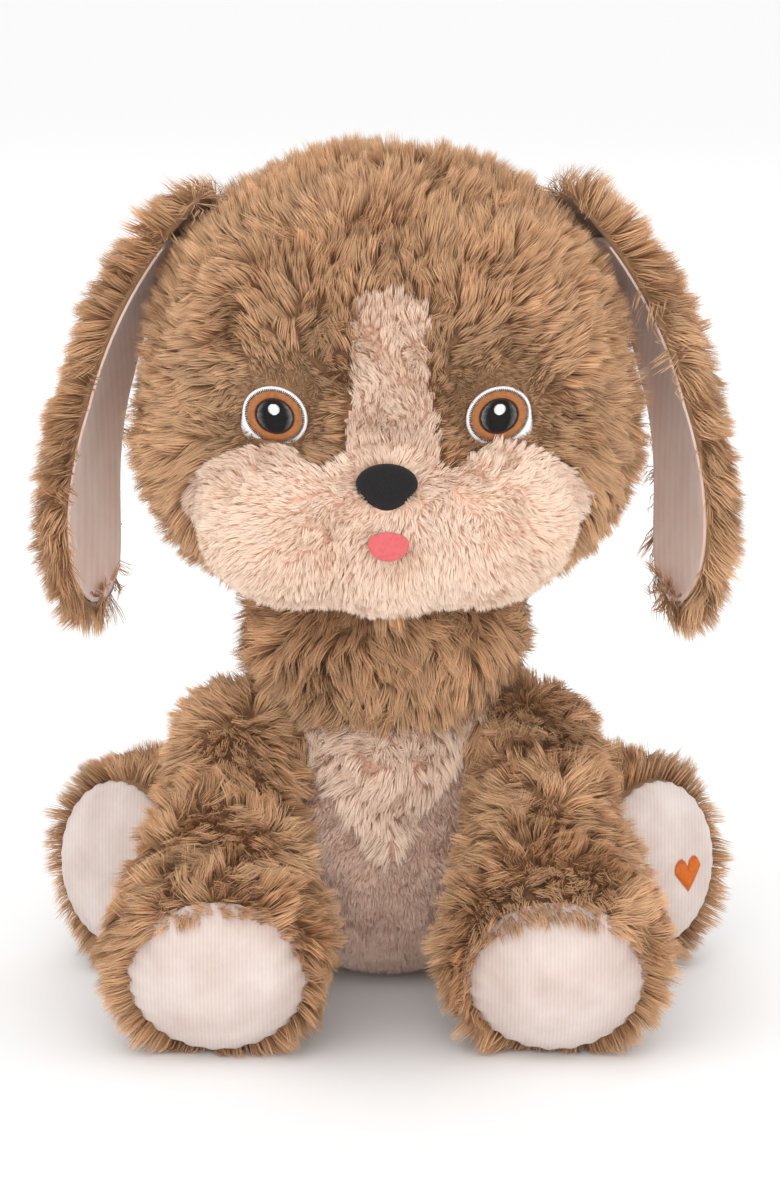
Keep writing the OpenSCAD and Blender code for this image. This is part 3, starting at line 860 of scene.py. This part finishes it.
for sign, label in ((1, "left"), (-1, "right")):
    hinge = mirrored(joint_pos[f"{label}_ear_lift"], sign)
    cloth = piece_from(ear_layer(sign, hinge, 1.8 * MM, 2.2 * MM, 0), f"{label}_ear_back", backing["brown"])
    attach(cloth, f"{label}_ear")
    lining = piece_from(ear_layer(sign, hinge, 1.4 * MM, -0.6 * MM, 1.6 * MM, 0.12), f"{label}_ear_velour", ear_velvet)
    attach(lining, f"{label}_ear")
    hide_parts(f"{label}_ear_lining")

    def ear_outside(p, n, sign=sign, centre=np.array(mirrored(ear_arc, sign))):
        away = unit((p - centre) * np.array((1, 0, 1)))
        return (n * away).sum(1) > -0.55

    def ear_flow(p, n, centre=np.array(mirrored(ear_arc, sign))):
        away = unit((p - centre) * np.array((1, 0, 1)))
        fall = np.stack((away[:, 2] * np.sign(away[:, 0]), 0 * away[:, 0], -np.abs(away[:, 0])), axis=1)
        return fall * 0.7 + n * 0.35

    piece = pile(
        f"{label}_ear_pile", cloth, ear_outside, steady(13), ear_flow, brown_pile,
        seed=90 + sign, density=2.6, wild=0.36,
    )
    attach(piece, f"{label}_ear")
    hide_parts(f"{label}_ear_cover")

# ---- Embroidered eyes ----
# Four layers of satin stitch on the face: a white rim that is fuller below and outside, a
# brown ring of stitches laid across it with a dark line at each edge, a black pupil worked in
# level rows, and a small white glint.
def thread_material(name, colour, dark):
    """Shiny rayon thread in one colour, with fine light and dark plies along it."""
    material, nodes, shader = plain_material(name, colour, 0.6)
    coords = nodes.new("ShaderNodeTexCoord")
    plies = nodes.new("ShaderNodeTexNoise")
    plies.inputs["Scale"].default_value = 900
    link(material.node_tree, coords.outputs["Object"], plies.inputs["Vector"])
    colour_out = mixed(material.node_tree, plies.outputs["Fac"], (*dark, 1), (*colour, 1))
    link(material.node_tree, colour_out, shader.inputs["Base Color"])
    return material


white_thread = thread_material("white_thread", (0.95, 0.95, 0.94), (0.78, 0.78, 0.80))
iris_thread = thread_material("iris_thread", (0.52, 0.22, 0.08), (0.26, 0.09, 0.03))
edge_thread = thread_material("edge_thread", (0.085, 0.030, 0.014), (0.04, 0.014, 0.008))
pupil_thread = thread_material("pupil_thread", (0.012, 0.011, 0.011), (0.004, 0.004, 0.004))
orange_thread = thread_material("orange_thread", (0.72, 0.19, 0.025), (0.48, 0.10, 0.012))


def stitch(bm, start, end, thick, puff):
    """One satin stitch: a slim thread laid from start to end that bows up a little between them."""
    start, end = Vector(start), Vector(end)
    middle, half = (start + end) / 2, (end - start) / 2
    turn = Vector((0, 0, 1)).rotation_difference(half).to_matrix().to_4x4()
    size = Matrix.Diagonal((thick, thick, half.length + thick, 1))
    one = bmesh.new()
    bmesh.ops.create_uvsphere(one, u_segments=6, v_segments=6, radius=1,
                              matrix=Matrix.Translation(middle) @ turn @ size)
    for vertex in one.verts:
        t = (vertex.co - middle).dot(half) / half.length_squared
        vertex.co.z += puff * max(1 - t * t, 0)
    one.to_mesh(scratch)
    one.free()
    bm.from_mesh(scratch)


iris_outer = 9.3 * MM
iris_inner = 6.1 * MM
glint_radius = 1.9 * MM
eye_up = Vector((0, 0, 1))


def eye_place(sign):
    """Turns an eye drawn flat, facing up, to its place on the stuffed face."""
    middle = eye_centres[sign]
    hits = []
    for dx, dz in ((0, 0), (7, 0), (-7, 0), (0, 7), (0, -7)):
        start = middle + Vector((dx * MM, -0.3, dz * MM))
        hits.append(head_form.ray_cast(start, Vector((0, 1, 0)))[1])
    normal = (hits[1] - hits[2]).cross(hits[3] - hits[4]).normalized()
    across = eye_up.cross(normal).normalized()
    up = normal.cross(across)
    spot = hits[0] - normal * 0.3 * MM
    return Matrix((
        (across.x, up.x, normal.x, spot.x), (across.y, up.y, normal.y, spot.y),
        (across.z, up.z, normal.z, spot.z), (0, 0, 0, 1),
    ))


def ring_of_stitches(bm, inner, outer, count, thick, puff, height, wobble=0.0):
    for i in range(count):
        angle = 2 * math.pi * i / count
        way = Vector((math.cos(angle), math.sin(angle), 0))
        far = outer(angle) if callable(outer) else outer
        stitch(bm, way * (inner + wobble * (i % 2)) + Vector((0, 0, height)),
               way * (far - wobble * (i % 2)) + Vector((0, 0, height)), thick, puff)


def rows_of_stitches(bm, radius, pitch, thick, height, centre=(0, 0)):
    rows = int(2 * radius / pitch)
    for i in range(rows):
        y = -radius + pitch * (i + 0.5)
        half = math.sqrt(max(radius**2 - y**2, 0)) - 0.1 * MM
        if half > 0.3 * MM:
            stitch(bm, (centre[0] - half, centre[1] + y, height), (centre[0] + half, centre[1] + y, height),
                   thick, 0.15 * MM)


for sign, label in ((1, "left"), (-1, "right")):
    place = eye_place(sign)

    corner = math.radians(-36 if sign > 0 else 216)

    def rim(angle, corner=corner):
        near_corner = max(math.cos(angle - corner), 0) ** 12
        return iris_outer + (1.0 + 0.5 * max(math.cos(angle + math.radians(90)), 0) + 2.3 * near_corner) * MM

    bm = bmesh.new()
    bmesh.ops.create_cone(bm, cap_ends=True, segments=64, radius1=iris_outer, radius2=iris_outer - 0.3 * MM,
                          depth=2.0 * MM)
    ring_of_stitches(bm, iris_outer - 0.8 * MM, rim, 150, 0.26 * MM, 0.12 * MM, 0.9 * MM)
    bmesh.ops.transform(bm, matrix=place, verts=bm.verts)
    white = piece_from(bm, f"{label}_eye_white_stitches", white_thread)
    bm = bmesh.new()
    ring_of_stitches(bm, iris_inner, iris_outer, 118, 0.27 * MM, 0.45 * MM, 1.05 * MM, 0.1 * MM)
    bmesh.ops.transform(bm, matrix=place, verts=bm.verts)
    iris = piece_from(bm, f"{label}_eye_iris_stitches", iris_thread)
    bm = bmesh.new()
    for r in (iris_outer, iris_inner):
        ring_of_stitches(bm, r - 0.3 * MM, r + 0.3 * MM, 96, 0.2 * MM, 0.2 * MM, 1.25 * MM)
    bmesh.ops.transform(bm, matrix=place, verts=bm.verts)
    edge = piece_from(bm, f"{label}_eye_edge_stitches", edge_thread)
    bm = bmesh.new()
    rows_of_stitches(bm, iris_inner, 0.42 * MM, 0.25 * MM, 1.1 * MM)
    bmesh.ops.transform(bm, matrix=place, verts=bm.verts)
    pupil = piece_from(bm, f"{label}_eye_pupil_stitches", pupil_thread)
    bm = bmesh.new()
    rows_of_stitches(bm, glint_radius, 0.34 * MM, 0.22 * MM, 1.5 * MM, (0, 2.5 * MM))
    bmesh.ops.transform(bm, matrix=place, verts=bm.verts)
    glint = piece_from(bm, f"{label}_eye_glint_stitches", white_thread)
    for piece, slot_name, node in (
        (white, "white_thread", "white"), (iris, "brown_thread", "iris"), (edge, "brown_thread", None),
        (pupil, "black_thread", "pupil"), (glint, "white_thread", "glint"),
    ):
        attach(piece, "head")
        if node:
            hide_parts(f"{label}_eye_{node}")

# ---- Nose and tongue ----
# The nose is a moulded plastic cap under black flock, on a post that a washer locks inside
# the muzzle. The tongue is a small tab of pink felt, sewn under the muzzle's middle.
flock, flock_nodes, flock_shader = plain_material("black_flock", (0.012, 0.011, 0.012), 0.95, 0.04)
flock_coords = flock_nodes.new("ShaderNodeTexCoord")
flock_noise = flock_nodes.new("ShaderNodeTexNoise")
flock_noise.inputs["Scale"].default_value = 2200
flock_bump = flock_nodes.new("ShaderNodeBump")
flock_bump.inputs["Strength"].default_value = 0.6
flock_bump.inputs["Distance"].default_value = 0.0003
link(flock.node_tree, flock_coords.outputs["Object"], flock_noise.inputs["Vector"])
link(flock.node_tree, flock_noise.outputs["Fac"], flock_bump.inputs["Height"])
link(flock.node_tree, flock_bump.outputs["Normal"], flock_shader.inputs["Normal"])
flock_tone = mixed(flock.node_tree, flock_noise.outputs["Fac"], (0.006, 0.006, 0.007, 1), (0.022, 0.020, 0.021, 1))
link(flock.node_tree, flock_tone, flock_shader.inputs["Base Color"])

nose_low, nose_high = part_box("nose_cap")
nose_centre = Vector((0, (nose_low.y + nose_high.y) / 2 + 1 * MM, 179.5 * MM))
bm = bmesh.new()
bmesh.ops.create_icosphere(bm, subdivisions=5, radius=1)
for vertex in bm.verts:
    x, y, z = vertex.co
    wide = 1.0 if z > 0 else 1.0 - 0.30 * abs(z) ** 1.5
    z = z * (0.86 if z > 0 else 1.0)
    vertex.co = Vector((x * wide * 9.7, y * 7.2, z * 8.0 + (0.35 if z > 0 else 0) * (x * x))) * MM
bmesh.ops.rotate(bm, verts=bm.verts, cent=(0, 0, 0), matrix=Matrix.Rotation(math.radians(-14), 3, "X"))
bmesh.ops.translate(bm, verts=bm.verts, vec=nose_centre)
nose = piece_from(bm, "nose_flock", flock)
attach(nose, "head")
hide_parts("nose_cap")

felt, felt_nodes, felt_shader = plain_material("pink_felt", (0.62, 0.12, 0.13), 0.9, 0.2)
felt_coords = felt_nodes.new("ShaderNodeTexCoord")
felt_noise = felt_nodes.new("ShaderNodeTexNoise")
felt_noise.inputs["Scale"].default_value = 900
felt_noise.inputs["Detail"].default_value = 6
felt_bump = felt_nodes.new("ShaderNodeBump")
felt_bump.inputs["Strength"].default_value = 0.6
felt_bump.inputs["Distance"].default_value = 0.0004
link(felt.node_tree, felt_coords.outputs["Object"], felt_noise.inputs["Vector"])
link(felt.node_tree, felt_noise.outputs["Fac"], felt_bump.inputs["Height"])
link(felt.node_tree, felt_bump.outputs["Normal"], felt_shader.inputs["Normal"])
felt_tone = mixed(felt.node_tree, felt_noise.outputs["Fac"], (0.50, 0.085, 0.095, 1), (0.68, 0.15, 0.155, 1))
link(felt.node_tree, felt_tone, felt_shader.inputs["Base Color"])

tongue_low, tongue_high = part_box("tongue")
tongue_half = (tongue_high.x - tongue_low.x) / 2
bm = bmesh.new()
bmesh.ops.create_circle(bm, cap_ends=True, segments=40, radius=tongue_half)
for vertex in bm.verts:
    vertex.co.y *= 0.55 if vertex.co.y > 0 else 0.85
    vertex.co = Vector((vertex.co.x, 0, vertex.co.y))
made = bmesh.ops.extrude_face_region(bm, geom=bm.faces[:])
bmesh.ops.translate(bm, verts=[v for v in made["geom"] if isinstance(v, bmesh.types.BMVert)],
                    vec=(0, 1.8 * MM, 0))
bmesh.ops.bevel(bm, geom=bm.edges[:], offset=0.5 * MM, segments=3, profile=0.5, affect="EDGES", material=-1)
bmesh.ops.recalc_face_normals(bm, faces=bm.faces)
bmesh.ops.rotate(bm, verts=bm.verts, cent=(0, 0, 0), matrix=Matrix.Rotation(math.radians(-12), 3, "X"))
bmesh.ops.translate(bm, verts=bm.verts, vec=(0.5 * MM, tongue_low.y - 2.5 * MM, tongue_low.z + tongue_half))
tongue = piece_from(bm, "felt_tongue", felt)
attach(tongue, "head")
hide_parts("tongue")

# ---- Stitched heart ----
# A small plain heart in orange satin stitch on the left sole.
hip, way, sole = leg_pieces["left"]
turn = Vector((0, 0, 1)).rotation_difference(way).to_matrix().to_4x4()
level = Vector((-way.y, way.x, 0)).normalized()
up = way.cross(level).normalized()
if up.z < 0:
    level, up = -level, -up
heart_size = 6.6 * MM
heart_at = Vector((7, -3)) * MM
heart_centre = hip + way * sole_plane


def on_sole(u, v):
    """A point just above the crowned sole, at a place given from the heart's middle."""
    u, v = u + heart_at.x, v + heart_at.y
    start = heart_centre + level * u + up * v + way * 20 * MM
    hit = sole.ray_cast(start, -way)[1]
    return Vector((u, v, (hit - heart_centre).dot(way) + 0.1 * MM))


bm = bmesh.new()
rows = 30
for i in range(rows):
    x = -1 + 2 * (i + 0.5) / rows
    top = math.sqrt(max(1 - (2 * abs(x) - 1) ** 2, 0)) * 0.62
    bottom = -1.15 * (1 - abs(x)) ** 0.85
    stitch(bm, on_sole(x * heart_size, bottom * heart_size), on_sole(x * heart_size, top * heart_size),
           0.26 * MM, 0.35 * MM)
heart_frame = Matrix((
    (level.x, up.x, way.x, heart_centre.x), (level.y, up.y, way.y, heart_centre.y),
    (level.z, up.z, way.z, heart_centre.z), (0, 0, 0, 1),
))
bmesh.ops.transform(bm, matrix=heart_frame, verts=bm.verts)
bmesh.ops.recalc_face_normals(bm, faces=bm.faces)
heart = piece_from(bm, "sole_heart", orange_thread)
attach(heart, "left_leg")
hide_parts("sole_motif")

# ---- Hidden parts ----
# The pellet bag, the nose's post and its washer keep their CAD shapes; only their finish is set.
hidden = {
    "bean_bag": plain_material("bag_cotton", (0.62, 0.62, 0.60), 0.9, 0.2)[0],
    "bean_fill": plain_material("pellets", (0.55, 0.60, 0.66), 0.5)[0],
    "nose_post": plain_material("post_plastic", (0.03, 0.03, 0.03), 0.4)[0],
    "nose_washer": plain_material("washer_plastic", (0.72, 0.72, 0.68), 0.45)[0],
}
for node, material in hidden.items():
    for material_slot in frame["nodes"][node].material_slots:
        material_slot.material = material

bpy.context.view_layer.update()
